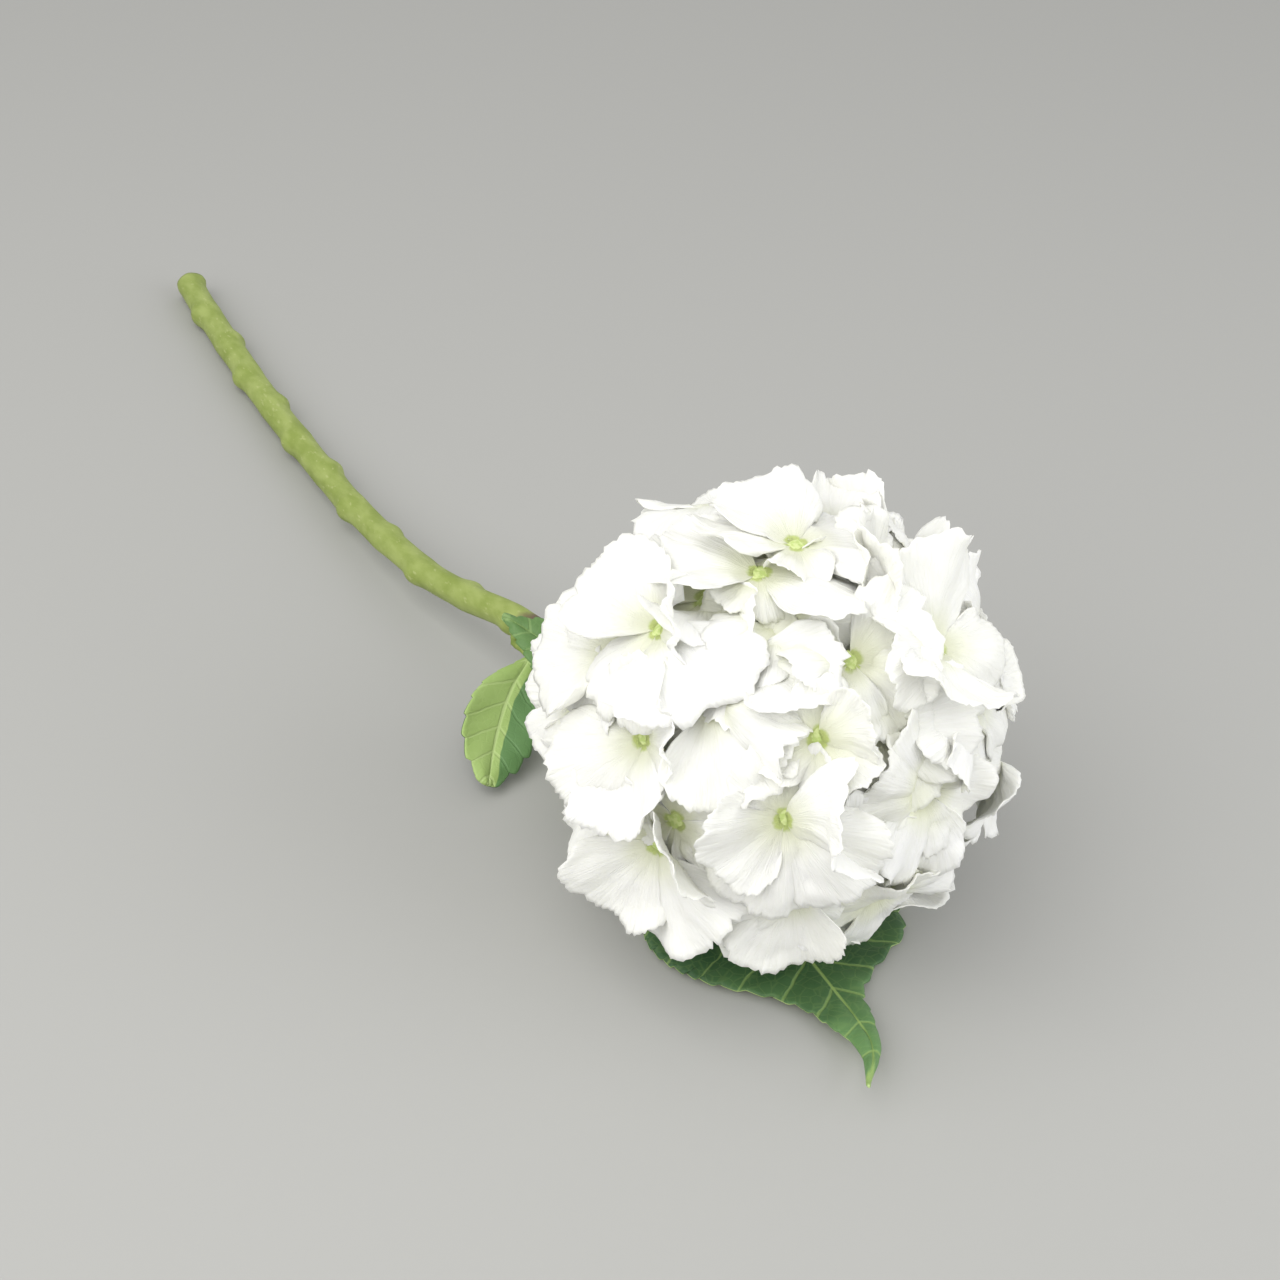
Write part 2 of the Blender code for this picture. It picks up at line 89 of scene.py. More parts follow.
STEM_STEP = 0.0022
STEM_SIDES = 28
STEM_RADIUS = 0.0054
CUT_END_RADIUS = 0.0061
CUT_ROUNDING = 0.0004
CUT_ROUNDING_LENGTH = 0.0006
TAPER_SPEED = 1.3
NECK_RADIUS = 0.0048
THIN_NECK_LENGTH = 0.025
SCAR_SPACING = 0.031
SCAR_HALF_LENGTH = 0.005
SCAR_HEIGHT = 0.0018
SCAR_RING = 0.15
SCARLESS_NECK_LENGTH = 0.09
COLLAR_FROM_TOP = 0.050
COLLAR_HALF_LENGTH = 0.010
COLLAR_HEIGHT = 0.0012
RIB_HEIGHT = 0.00012
KNOB_HEIGHT = 0.0001
BARK_THICKNESS = 0.0010
PITH_WIDTH = 0.0028
PITH_SINKS = (0.0002, 0.0003)
# Where the old bark begins and is whole, along the stem and up from the table.
OLD_WOOD_PLACES = (-0.137, -0.131)
OLD_WOOD_HEIGHTS = (0.0335, 0.0365)


def colour(red, green, blue):
    """A shader's colour from the 0 to 255 values that a picture shows."""
    return tuple((part / 255) ** 2.2 for part in (red, green, blue)) + (1,)


class Wire:
    """A shader socket. Arithmetic on it adds Math nodes, and node adds any other node."""

    def __init__(self, tree, socket=None):
        self.tree = tree
        self.socket = socket

    def node(self, kind, settings=None, values=None, output=0):
        """A new node: its settings first, then its sockets' values or links."""
        made = self.tree.nodes.new(kind)
        for name, setting in (settings or {}).items():
            setattr(made, name, setting)
        for name, value in (values or {}).items():
            if isinstance(value, Wire):
                self.tree.links.new(value.socket, made.inputs[name])
            else:
                made.inputs[name].default_value = value
        return Wire(self.tree, made.outputs[output])

    def output(self, name):
        """Another output of the node that this one comes from."""
        return Wire(self.tree, self.socket.node.outputs[name])

    def math(self, operation, *others):
        """A Math node that works on this, then on the others."""
        values = dict(enumerate((self, *others)))
        return self.node("ShaderNodeMath", {"operation": operation}, values)

    def __add__(self, other):
        return self.math("ADD", other)

    def __sub__(self, other):
        return self.math("SUBTRACT", other)

    def __rsub__(self, other):
        return self * -1 + other

    def __mul__(self, other):
        return self.math("MULTIPLY", other)

    def __truediv__(self, other):
        return self.math("DIVIDE", other)

    def __abs__(self):
        return self.math("ABSOLUTE")

    __radd__ = __add__
    __rmul__ = __mul__

    def steps(self, low, high, start=0.0, end=1.0):
        """Goes smoothly from start, where this is low, to end, where it is high."""
        values = {"Value": self, "From Min": low, "From Max": high, "To Min": start, "To Max": end}
        return self.node("ShaderNodeMapRange", {"interpolation_type": "SMOOTHSTEP"}, values)

    def paints(self, first, second):
        """A colour: the first where this is 0, the second where it is 1."""
        settings = {"data_type": "RGBA", "clamp_factor": True}
        return self.node("ShaderNodeMix", settings, {0: self, 6: first, 7: second}, output=2)

    def scaled(self, x, y, z):
        """This vector with its parts multiplied."""
        values = {0: self, 1: (x, y, z)}
        return self.node("ShaderNodeVectorMath", {"operation": "MULTIPLY"}, values)

    def noise(self, scale, detail=3.0, distortion=0.0):
        """Cloudy noise from 0 to 1 at this place."""
        values = {"Vector": self, "Scale": scale, "Detail": detail, "Distortion": distortion}
        return self.node("ShaderNodeTexNoise", None, values)


def new_material(name, constants):
    """A Principled material with constant values on some sockets, a first wire and its sockets."""
    material = bpy.data.materials.new(name)
    material.use_nodes = True
    shader = material.node_tree.nodes["Principled BSDF"]
    for socket, value in constants.items():
        shader.inputs[socket].default_value = value
    return material, Wire(material.node_tree), shader.inputs


def connect(wire, socket):
    wire.tree.links.new(wire.socket, socket)


def raise_by(height, distance, normal, strength=1.0):
    """Bumps the shader's Normal by a height from 0 to 1, in so many metres."""
    values = {"Height": height, "Distance": distance, "Strength": strength}
    connect(height.node("ShaderNodeBump", None, values), normal)


def finished_piece(bm, name, materials, slot, *nodes):
    """An object from a bmesh, on the plant's one body, in place of its CAD nodes."""
    mesh = bpy.data.meshes.new(name)
    bm.to_mesh(mesh)
    bm.free()
    for material in materials:
        mesh.materials.append(material)
    mesh.shade_smooth()
    piece = bpy.data.objects.new(name, mesh)
    bpy.context.scene.collection.objects.link(piece)
    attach(piece, "root")
    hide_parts(*nodes)
    return piece


def smooth_route(points, step):
    """Points about a step apart along a smooth curve through the given ones."""
    points = [Vector(point) for point in points]
    ends = [2 * points[0] - points[1], *points, 2 * points[-1] - points[-2]]
    route = []
    for before, start, end, after in zip(ends, ends[1:], ends[2:], ends[3:]):
        count = max(1, round((end - start).length / step))
        for i in range(count):
            t = i / count
            route.append(
                start
                + 0.5 * t * (end - before)
                + t * t * (before - 2.5 * start + 2 * end - 0.5 * after)
                + t ** 3 * (1.5 * start - 1.5 * end + 0.5 * after - 0.5 * before)
            )
    route.append(points[-1])
    return route


def tangents(route):
    ends = [route[0], *route, route[-1]]
    return [(after - before).normalized() for before, after in zip(ends, ends[2:])]


def across(tangent):
    """The level direction across a tangent, and the direction that completes the two."""
    side = Vector((0, 0, 1)).cross(tangent)
    if side.length < 0.01:
        side = Vector((1, 0, 0))
    side.normalize()
    return side, tangent.cross(side)


def tube(bm, route, radius_at, sides):
    """A grid rolled round a route and closed. Gives its two end faces.

    radius_at gives the radius at a row and an angle."""
    rows = len(route) - 1
    grid = bmesh.ops.create_grid(bm, x_segments=sides, y_segments=rows, size=1, calc_uvs=True)
    directions = tangents(route)
    for index, vert in enumerate(grid["verts"]):
        row, column = divmod(index, sides + 1)
        side, rise = across(directions[row])
        angle = 2 * math.pi * (column % sides) / sides
        radius = radius_at(row, angle)
        vert.co = route[row] + radius * (math.cos(angle) * side + math.sin(angle) * rise)
    bmesh.ops.remove_doubles(bm, verts=grid["verts"], dist=1e-7)
    skin = {face for vert in grid["verts"] if vert.is_valid for face in vert.link_faces}
    ends = {edge for face in skin for edge in face.edges if edge.is_boundary}
    caps = bmesh.ops.holes_fill(bm, edges=list(ends), sides=0)["faces"]
    bmesh.ops.recalc_face_normals(bm, faces=[*skin, *caps])
    return caps


stem_route = [*STEM_ROUTE]
for neck_length in NECK_LENGTHS:
    stem_route.append(tuple(HEAD_CENTRE - neck_length * NECK_DIRECTION))
stem_line = smooth_route(stem_route, STEM_STEP)
stem_length = [0.0]
for point, after in zip(stem_line, stem_line[1:]):
    stem_length.append(stem_length[-1] + (after - point).length)


def stem_radius(row, angle):
    """Tapered, swollen at each old leaf scar and where the leaf pair grows, thin in the neck."""
    length = stem_length[row]
    from_top = stem_length[-1] - length
    taper = min(1, TAPER_SPEED * length / stem_length[-1])
    radius = CUT_END_RADIUS + (STEM_RADIUS - CUT_END_RADIUS) * taper
    scar = round(length / SCAR_SPACING)
    near = math.exp(-((length - scar * SCAR_SPACING) / SCAR_HALF_LENGTH) ** 2)
    face = max(0.0, math.cos(angle - math.pi * (scar % 2)))
    if from_top > SCARLESS_NECK_LENGTH:
        radius += SCAR_HEIGHT * near * (SCAR_RING + face ** 2)
    collar = (from_top - COLLAR_FROM_TOP) / COLLAR_HALF_LENGTH
    radius += COLLAR_HEIGHT * math.exp(-collar ** 2)
    if from_top < THIN_NECK_LENGTH:
        radius += (NECK_RADIUS - radius) * (1 - from_top / THIN_NECK_LENGTH)
    ribs = RIB_HEIGHT * math.sin(5 * angle + 40 * length)
    knobs = KNOB_HEIGHT * math.sin(170 * length + angle)
    rounding = CUT_ROUNDING * math.exp(-length / CUT_ROUNDING_LENGTH)
    return radius + (ribs + knobs) - rounding


bm = bmesh.new()
bm.loops.layers.uv.new("UVMap")
caps = tube(bm, stem_line, stem_radius, STEM_SIDES)
cut_face = min(caps, key=lambda face: face.calc_center_median().x)
bark_sink, pith_sink = PITH_SINKS
bmesh.ops.inset_region(bm, faces=[cut_face], thickness=BARK_THICKNESS, depth=-bark_sink)
cut_face.material_index = 1
bmesh.ops.inset_region(bm, faces=[cut_face], thickness=PITH_WIDTH, depth=-pith_sink)

stem_bark, wire, shader = new_material("stem_bark", {"Roughness": 0.55, "Specular IOR Level": 0.35})
place = wire.node("ShaderNodeTexCoord", output="Object")
mottle = place.scaled(90, 160, 160).noise(1.0, 4)
flecks = place.scaled(260, 600, 600).noise(1.0, 2)
green = mottle.steps(0.3, 0.7).paints(colour(134, 150, 74), colour(156, 170, 98))
green = flecks.steps(0.62, 0.72, 0, 0.5).paints(green, colour(180, 188, 128))
along = place.node("ShaderNodeSeparateXYZ", None, {0: place})
height = along.output("Z")
old_wood = (along + 0.008 * place.noise(120, 3)).steps(*OLD_WOOD_PLACES)
old_wood = old_wood * (height + 0.010 * place.noise(160, 2)).steps(*OLD_WOOD_HEIGHTS)
green = old_wood.paints(green, colour(104, 88, 74))
connect(green, shader["Base Color"])
raise_by(mottle + 0.5 * flecks, 0.0006, shader["Normal"], 0.6)

stem_pith, wire, shader = new_material("stem_pith", {"Roughness": 0.8})
grain = wire.node("ShaderNodeTexCoord", output="Object").noise(900, 3)
connect(grain.paints(colour(170, 184, 106), colour(206, 212, 152)), shader["Base Color"])
raise_by(grain, 0.0004, shader["Normal"])
finished_piece(bm, "stem_shoot", [stem_bark, stem_pith], "stem", "stem")


# Florets
# Each is four broad silky petals round a small green eye, now and then five, uneven, ruffled and
# finely pleated, with a frayed rim. They crowd over the head in layers, so that petals overlap.
OUTER_RADIUS = 0.075
LAYERS = 4
LAYER_STEP = 0.0034
# Those that the photograph shows are placed one by one, by the azimuth and elevation of the eye
# from the head's centre, in degrees, and the layer, 0 outermost. Each petal then has its turn round
# the eye and the lift of its tip, in degrees, its length in mm, and where it needs them the roll
# that curls it across and the twist that tilts it to one side.
PLACED_FLORETS = (
    (-40, 87, 0,
     (128, 6, 31, 0.6, 0.0), (16, -10, 33, 0.1, -0.3), (166, -6, 35, 0.5, 0.2), (278, -2, 20)),
    (-77, 76, 1, (207, 6, 35, 0.2, 0.35), (28, -9, 38, 0.3, -0.4), (297, -6, 19), (120, -24, 14)),
    (-44, 66, 2, (32, -6, 26, 0.3, -0.1), (235, 6, 26), (180, -15, 28), (95, -15, 28)),
    (-102, 62, 3, (190, 14, 33, 0.2, 0.3), (350, 16, 30, 1.0, -0.5), (280, -10, 26), (95, -12, 26)),
    (-92, 48, 0,
     (178, 20, 33, 0.3, 0.3), (40, 40, 25, 0.3),
     (350, -4, 37, 0.2, -0.45), (285, -4, 33, -0.2, 0.0)),
    (-56, 53, 2, (356, 12, 32, 0.6, -0.4), (265, -2, 25), (190, -8, 26), (95, -15, 24)),
    (-11, 53, 1, (165, -3, 22), (308, -6, 28), (240, -5, 26), (14, 6, 31, 0.2)),
    (-78, 23, 1, (232, 18, 34), (100, 10, 28), (280, 8, 33, 1.1), (26, 26, 25, 0.2)),
    (-27, 35, 0, (77, -7, 20), (195, 2, 21), (20, 50, 22), (300, 22, 22)),
    (-62, 40, 1, (334, -6, 32), (347, 6, 34, -1.9), (312, -4, 36, 0.5, -0.3), (272, -14, 24)),
    (-63, 6, 1, (75, -6, 24), (330, -4, 34), (200, -12, 26), (262, -14, 26)),
    (-35, 15, 0, (205, 20, 29), (12, 58, 32), (262, 4, 35), (326, 6, 35), (100, -4, 27)),
    (-68, -5, 1, (243, 26, 33), (30, 32, 33, 0.3), (145, -4, 20), (303, 13, 36)),
    (26, 46, 0, (60, 28, 36, -0.3), (152, 6, 30), (216, 32, 31, 0.4), (306, -2, 30)),
    (41, 64, 1, (92, 36, 27, 0.6), (128, 48, 29, 0.6), (20, 0, 29), (280, -14, 26)),
    (103, 75, 2, (314, 10, 29), (302, 14, 30, 1.7), (190, -14, 20), (60, -4, 27)),
    (31, 28, 1, (20, 6, 28), (320, 0, 28), (165, -8, 31), (238, -4, 30)),
    (-3, 34, 2, (350, 12, 32), (285, -6, 32), (215, -2, 28), (90, -12, 26)),
    (7, 13, 2, (152, 6, 30), (252, 0, 33), (313, 4, 27), (70, -4, 30)),
    (-31, -10, 1, (268, 16, 32, 0.5), (224, 4, 33), (323, -8, 24), (90, -14, 22)),
    (-16, 0, 2, (284, -4, 21), (340, -14, 28), (200, 0, 28), (60, -4, 28)),
    (-104, 34, 1, (234, 14, 33), (282, -4, 30), (186, 12, 31), (100, -8, 28)),
    (-142, 23, 2, (250, 22, 29), (175, 16, 29), (85, -4, 28), (340, -8, 28)),
    (64, 25, 1, (60, 12, 31), (150, 0, 28), (330, 8, 31), (240, -5, 28)),
    (96, 48, 1, (30, 12, 31), (120, 6, 31), (210, -4, 30), (300, 2, 30)),
    (-116, 10, 1, (195, 14, 31), (285, 2, 30), (15, -6, 28), (105, 4, 30)),
    (3, -31, 2, (30, -8, 29), (120, -4, 30), (210, -6, 30), (300, 6, 29)),
    (-62, -33, 2, (0, -4, 30), (90, -8, 28), (180, -2, 30), (272, 10, 29)),
    (-105, -22, 1, (20, -6, 28), (110, 6, 29), (238, 34, 33), (300, 8, 30)),
    (-142, -18, 2, (25, -12, 28), (115, -4, 29), (205, -10, 28), (295, -6, 29)),
    (-25, -64, 0, (10, 3, 29), (100, 3, 30), (190, 3, 29), (280, 3, 30)),
    (-100, -60, 1, (50, 3, 30), (140, 3, 29), (230, 3, 30), (320, 3, 29)),
    (45, -56, 0, (35, 3, 29), (125, 3, 30), (215, 3, 29), (305, 3, 30)),
)
SPIRAL_SEED = 14
SPIRAL_PLACES = 170
SPIRAL_TILTS = (2, 10)
SPIRAL_LIFTS = (-14, 6)
SPIRAL_LENGTHS = (29, 35)
SPIRAL_SLACK = 9
LEAST_SPACING = math.radians(29)
NEIGHBOUR_SPACING = math.radians(44)
STEM_SIDE = Vector((-0.66, -0.04, -0.75)).normalized()
STEM_CLEARANCE = math.radians(52)


def direction(azimuth, elevation):
    azimuth, elevation = math.radians(azimuth), math.radians(elevation)
    level = math.cos(elevation)
    return Vector((level * math.cos(azimuth), level * math.sin(azimuth), math.sin(elevation)))


def floret_places():
    """The placed florets, then the rest by a spiral rule that keeps clear of them and of the stem.

    Gives the eye's direction from the head's centre, the layer and the petals. A spiral floret
    takes the outermost layer that the fewest of its neighbours are in, and tilts a little."""
    draw = random.Random(SPIRAL_SEED)
    places = [(direction(*place[:2]), place[2], place[3:]) for place in PLACED_FLORETS]
    for i in range(SPIRAL_PLACES):
        height = 1 - (2 * i + 1) / SPIRAL_PLACES
        turn = i * math.pi * (3 - math.sqrt(5))
        level = math.sqrt(1 - height * height)
        outward = Vector((level * math.cos(turn), level * math.sin(turn), height))
        if outward.angle(STEM_SIDE) < STEM_CLEARANCE:
            continue
        if min(outward.angle(place[0]) for place in places) < LEAST_SPACING:
            continue
        near = [place[1] for place in places if outward.angle(place[0]) < NEIGHBOUR_SPACING]
        layer = min(range(LAYERS), key=lambda layer: near.count(layer) + 0.1 * layer)
        spin = draw.uniform(0, 90)
        toward = draw.uniform(0, 360)
        tilt = draw.uniform(*SPIRAL_TILTS)
        petals = []
        for k in range(4):
            turn = spin + 90 * k + draw.uniform(-SPIRAL_SLACK, SPIRAL_SLACK)
            lift = draw.uniform(*SPIRAL_LIFTS) + tilt * math.cos(math.radians(turn - toward))
            petals.append((turn, lift, draw.uniform(*SPIRAL_LENGTHS)))
        places.append((outward, layer, petals))
    return places


TUCKED_IN = math.radians(83)
TUCK_PER_RADIAN = 0.016


def floret_frame(outward, layer):
    """The floret's eye, and its east, north and outward directions as a matrix's columns.

    Florets round the stem are tucked in towards the head's centre."""
    tuck = TUCK_PER_RADIAN * max(0.0, TUCKED_IN - outward.angle(STEM_SIDE))
    eye = HEAD_CENTRE + (OUTER_RADIUS - LAYER_STEP * layer - tuck) * outward
    east = Vector((0, 0, 1)).cross(outward).normalized()
    return eye, Matrix((east, outward.cross(east), outward)).transposed()


# The petals lie on the front leaf, which is flat in its middle and rises round it like a dish.
FLAT_RADIUS = 0.030
PETAL_RISE = 3.6
FLOOR_SOFTNESS = 0.0010


def over_dish(point, floor):
    """The point, lifted softly where it would come under the dish that the petals lie on."""
    reach = max(0.0, math.hypot(point.x, point.y) - FLAT_RADIUS)
    lowest = floor + PETAL_RISE * reach ** 2
    above = (point.z - lowest) / FLOOR_SOFTNESS
    if above > 10:
        return point
    return Vector((point.x, point.y, lowest + FLOOR_SOFTNESS * math.log1p(math.exp(above))))


# The petals start a little way out from the eye, and are smooth and dip towards it.
EYE_REACH = 0.05
FLAT_EYE = 0.010
EYE_DIP = 0.0007
PETAL_COLUMNS = 56
PETAL_ROWS = 17
PETAL_FAN = math.radians(58)
PETAL_HALF_WIDTH = 0.018
SIDE_REACH = 0.46
SIDE_TILT = 0.0007
BEND_SPEED = 1.6
LEAST_BEND = 0.02
SLOW_LIFT = 0.12
# How much petals vary: a pair holds the least and the most.
WIDENINGS = (0.92, 1.12)
ARCHES = (0.03, 0.10)
ARCH_LOST_BY_LIFT = 0.24
ROLLS = (-0.7, 0.6)
TWISTS = (-0.22, 0.22)
RUFFLE_HEIGHTS = (0.0018, 0.0044)
RUFFLE_WAVES = (1.6, 3.4)
CRIMP_HEIGHTS = (0.0008, 0.0020)
CRIMP_WAVES = (6, 12)
HEM_HEIGHTS = (-0.0036, 0.0036)
HEM_START = 0.72
HEM_SPREAD = 0.078
HEM_WAVES = 2.3
FOLDS = 3
FOLD_PLACES = (-0.7, 0.7)
FOLD_HEIGHTS = (0.0008, 0.0024)
FOLD_HALF_WIDTH = 0.16
TIP_NOTCHES = (0, 0, 0.05, 0.09)
NOTCH_HALF_WIDTH = 0.14
PLEAT_HEIGHTS = (0.00002, 0.00022)
FRAYS = (-0.022, 0.018)
TEARS = (0.02, 0.05)
TORN_SHARE = 0.08
# Scallops of the rim, as a share of the length, and how often they come. The rest is in metres.
BROAD_SCALLOPS = (0.10, 3.1)
SMALL_SCALLOPS = (0.05, 9.0)
CRUMPLE_HEIGHT = 0.0025
CRUMPLE_SCALE = 95
CREASE_HEIGHT = 0.0012
CREASE_SCALE = 240


class Petal:
    """One petal: a fan of pleats from the eye to a frayed and ruffled rim.

    draw settles its form, apart from what is given, and cloth its ruffles, folds and rim."""

    def __init__(self, draw, cloth, turn, lift, length, roll=None, twist=None):
        self.turn = math.radians(turn)
        self.lift = math.radians(lift)
        self.length = length / 1000
        self.widen = draw.uniform(*WIDENINGS)
        self.arch = draw.uniform(*ARCHES)
        self.arch -= ARCH_LOST_BY_LIFT * max(0, math.sin(self.lift)) ** 1.5
        self.roll = draw.uniform(*ROLLS)
        if roll is not None:
            self.roll = roll
        self.twist = draw.uniform(*TWISTS)
        if twist is not None:
            self.twist = twist
        self.cloth_place = Vector([cloth.uniform(-50, 50) for _ in range(3)])
        self.ruffle = cloth.uniform(*RUFFLE_HEIGHTS)
        self.waves = cloth.uniform(*RUFFLE_WAVES)
        self.phase = cloth.uniform(0, 2 * math.pi)
        self.crimp = cloth.uniform(*CRIMP_HEIGHTS)
        self.crimps = cloth.uniform(*CRIMP_WAVES)
        self.hem = cloth.uniform(*HEM_HEIGHTS)
        self.folds = [
            (cloth.uniform(*FOLD_PLACES), cloth.choice((-1, 1)) * cloth.uniform(*FOLD_HEIGHTS))
            for _ in range(FOLDS)
        ]
        self.tip_notch = cloth.choice(TIP_NOTCHES)
        self.pleats = []
        self.frays = []
        for column in range(PETAL_COLUMNS + 1):
            side = 1 if column % 2 else -1
            self.pleats.append(side * cloth.uniform(*PLEAT_HEIGHTS))
            fray = cloth.uniform(*FRAYS)
            if cloth.random() < TORN_SHARE:
                fray -= cloth.uniform(*TEARS)
            self.frays.append(fray)

    def scallop(self, aside, size, apart):
        """How far the rim stands out, as a share of the petal's length."""
        depth, often = size
        return depth * noise.noise(self.cloth_place + Vector((often * aside, apart, 0)))

    def outline(self, column, along):
        """The place before it is raised: how far aside it is, from -1 to 1, and, in metres, how far
        it is from the eye, how far ahead and how far to the side."""
        aside = 2 * column / PETAL_COLUMNS - 1
        share = SIDE_REACH + (1 - SIDE_REACH) * max(0, 1 - abs(aside) ** 3) ** 0.5
        scallop = self.scallop(aside, BROAD_SCALLOPS, 0) + self.scallop(aside, SMALL_SCALLOPS, 7)
        share += (scallop + self.frays[column]) * along ** 3
        share -= self.tip_notch * math.exp(-(aside / NOTCH_HALF_WIDTH) ** 2) * along
        reach = self.length * share * along
        ahead = reach * math.cos(PETAL_FAN * aside)
        wide = reach * math.sin(PETAL_FAN * aside) * self.widen
        return aside, reach, ahead, wide

    def point(self, column, along):
        """The place in the floret's frame: along runs from the eye, 0, to the rim, 1."""
        aside, reach, ahead, wide = self.outline(column, along)
        x = ahead / self.length
        high = self.length * self.arch * 4 * x * (1 - x)
        high += wide * self.twist * min(1, 2 * x)
        high -= 0.5 * wide * wide / OUTER_RADIUS * math.cos(self.lift)
        bend = self.roll * min(1, BEND_SPEED * x) / PETAL_HALF_WIDTH
        if abs(bend * wide) > LEAST_BEND:
            high += (1 - math.cos(bend * wide)) / bend
            wide = math.sin(bend * wide) / bend
        high += SIDE_TILT * aside * math.sin(math.pi * min(1, BEND_SPEED * along))
        high += self.ruffle * along ** 2 * math.sin(self.waves * math.pi * aside / 2 + self.phase)
        high += self.crimp * along ** 4 * math.sin(self.crimps * aside + 2 * self.phase)
        in_hem = max(0, along - HEM_START) ** 2 / HEM_SPREAD
        high += self.hem * in_hem * math.cos(HEM_WAVES * aside + self.phase)
        for place, depth in self.folds:
            high += depth * along * math.exp(-((aside - place) / FOLD_HALF_WIDTH) ** 2)
        cloth = Vector((ahead, wide, 0))
        crumple = noise.noise(self.cloth_place + CRUMPLE_SCALE * cloth)
        crease = noise.noise(self.cloth_place + CREASE_SCALE * cloth)
        high += CRUMPLE_HEIGHT * along * crumple
        high += CREASE_HEIGHT * along ** 2 * crease
        high += self.pleats[column] * along
        high *= min(1, reach / FLAT_EYE) ** 2
        risen = self.length * x * x * (1 + SLOW_LIFT) / (x + SLOW_LIFT)
        out = ahead * math.cos(self.lift) - high * math.sin(self.lift)
        up = risen * math.sin(self.lift) + high * math.cos(self.lift)
        up -= EYE_DIP * max(0, 1 - reach / FLAT_EYE)
        cos, sin = math.cos(self.turn), math.sin(self.turn)
        return Vector((out * cos - wide * sin, out * sin + wide * cos, up))


PETAL_THICKNESS = 0.0006
RIM_SHARE = 0.35
THINNEST_SHARE = 0.05
# A petal takes a painted cream-green shade by how deep in the head it lies, and is tinted by how
# near its own eye.
TINT_START = 0.006
TINT_DEPTH = 0.024
TINT_REACH = 0.032


def add_petal(bm, petal, eye, eye_frame, floor, shade):
    """A grid shaped into the petal, its rim thinner than its middle.

    Its tint holds a shade of its own, its depth in the head, which sets its painted shade, and its
    nearness to the eye."""
    tint = bm.verts.layers.float_color["tint"]
    thickness = bm.verts.layers.deform.verify()
    rows, columns = PETAL_ROWS, PETAL_COLUMNS
    grid = bmesh.ops.create_grid(bm, x_segments=columns, y_segments=rows, size=1, calc_uvs=True)
    for index, vert in enumerate(grid["verts"]):
        row, column = divmod(index, columns + 1)
        along = EYE_REACH + (1 - EYE_REACH) * row / rows
        vert.co = over_dish(eye + eye_frame @ petal.point(column, along), floor)
        depth = (OUTER_RADIUS + TINT_START - (vert.co - HEAD_CENTRE).length) / TINT_DEPTH
        nearness = 1 - along * petal.length / TINT_REACH
        vert[tint] = (shade, min(1, max(0, depth)), max(0, nearness), 1)
        on_rim = row == rows or column in (0, columns)
        vert[thickness][0] = RIM_SHARE if on_rim else 1.0


def petal_silk():
    """White silk, with a cream-green painted shade in the depths of the head, yellow-green round
    the eye.
    """
    material, wire, shader = new_material(
        "petal_silk",
        {
            "Roughness": 0.72,
            "Specular IOR Level": 0.2,
            "Subsurface Weight": 0.2,
            "Subsurface Radius": (0.004, 0.004, 0.003),
            "Subsurface Scale": 1.0,
        },
    )
    uv = wire.node("ShaderNodeUVMap", {"uv_map": "UVMap"})
    tint = wire.node("ShaderNodeAttribute", {"attribute_name": "tint"}, output="Color")
    shade = wire.node("ShaderNodeSeparateColor", None, {0: tint})
    depth = shade.output("Green")
    nearness = shade.output("Blue")
    place = wire.node("ShaderNodeTexCoord", output="Object")
    veins = uv.scaled(46, 2.2, 1).noise(1.0, 3, 0.3)
    cloud = place.noise(60, 3)
    white = shade.paints(colour(248, 248, 242), colour(253, 253, 251))
    white = veins.steps(0.35, 0.65, 0.22, 0).paints(white, colour(240, 241, 229))
    # Painted shade: cream-green deeper in the head, where petals lie in each other's shade.
    depth_shade = (depth * 0.75 + cloud.steps(0.3, 0.7, -0.1, 0.1)).steps(0.15, 1.0)
    silk = depth_shade.paints(white, colour(216, 221, 158))
    base = (nearness + 0.03 * place.noise(420, 2)).steps(0.45, 0.95, 0, 0.5)
    silk = base.paints(silk, colour(232, 237, 180))
    spot = (nearness + 0.06 * place.noise(500, 2)).steps(0.88, 0.925)
    silk = spot.paints(silk, colour(203, 218, 138))
    connect(silk, shader["Base Color"])
    threads = uv.scaled(130, 6, 1).noise(1.0, 2)
    raise_by(veins + 0.5 * threads, 0.0008, shader["Normal"], 0.6)
    return material


def new_floret_mesh():
    bm = bmesh.new()
    bm.loops.layers.uv.new("UVMap")
    bm.verts.layers.float_color.new("tint")
    return bm


CROWN_FROM = 0.68
LOW_BELOW = -0.17
FRONT_SLANT = 0.1


def tier_of(outward):
    """The piece that a floret belongs to, by where on the head it grows."""
    if outward.z > CROWN_FROM:
        return "florets_crown"
    if outward.z < LOW_BELOW:
        return "florets_low"
    return "florets_front" if outward.y < FRONT_SLANT * outward.x else "florets_back"


# Each floret's dish is a little higher or lower than its neighbours', so that petals lie apart.
PETAL_FLOOR = 0.0010
FLOOR_STEP = 0.0003
FLOOR_STEPS = 5
PETAL_SEED = 23
CLOTH_SEED = 100

silk = petal_silk()
draw = random.Random(PETAL_SEED)
tiers = {}
eyes = []
for i, (outward, layer, petals) in enumerate(floret_places()):
    cloth = random.Random(CLOTH_SEED + i)
    eye, eye_frame = floret_frame(outward, layer)
    tier = tier_of(outward)
    if tier not in tiers:
        tiers[tier] = new_floret_mesh()
    floor = PETAL_FLOOR + FLOOR_STEP * (i % FLOOR_STEPS)
    for measures in petals:
        petal = Petal(draw, cloth, *measures)
        add_petal(tiers[tier], petal, eye, eye_frame, floor, cloth.random())
    eyes.append((over_dish(eye - EYE_DIP * outward, floor), eye_frame, outward))

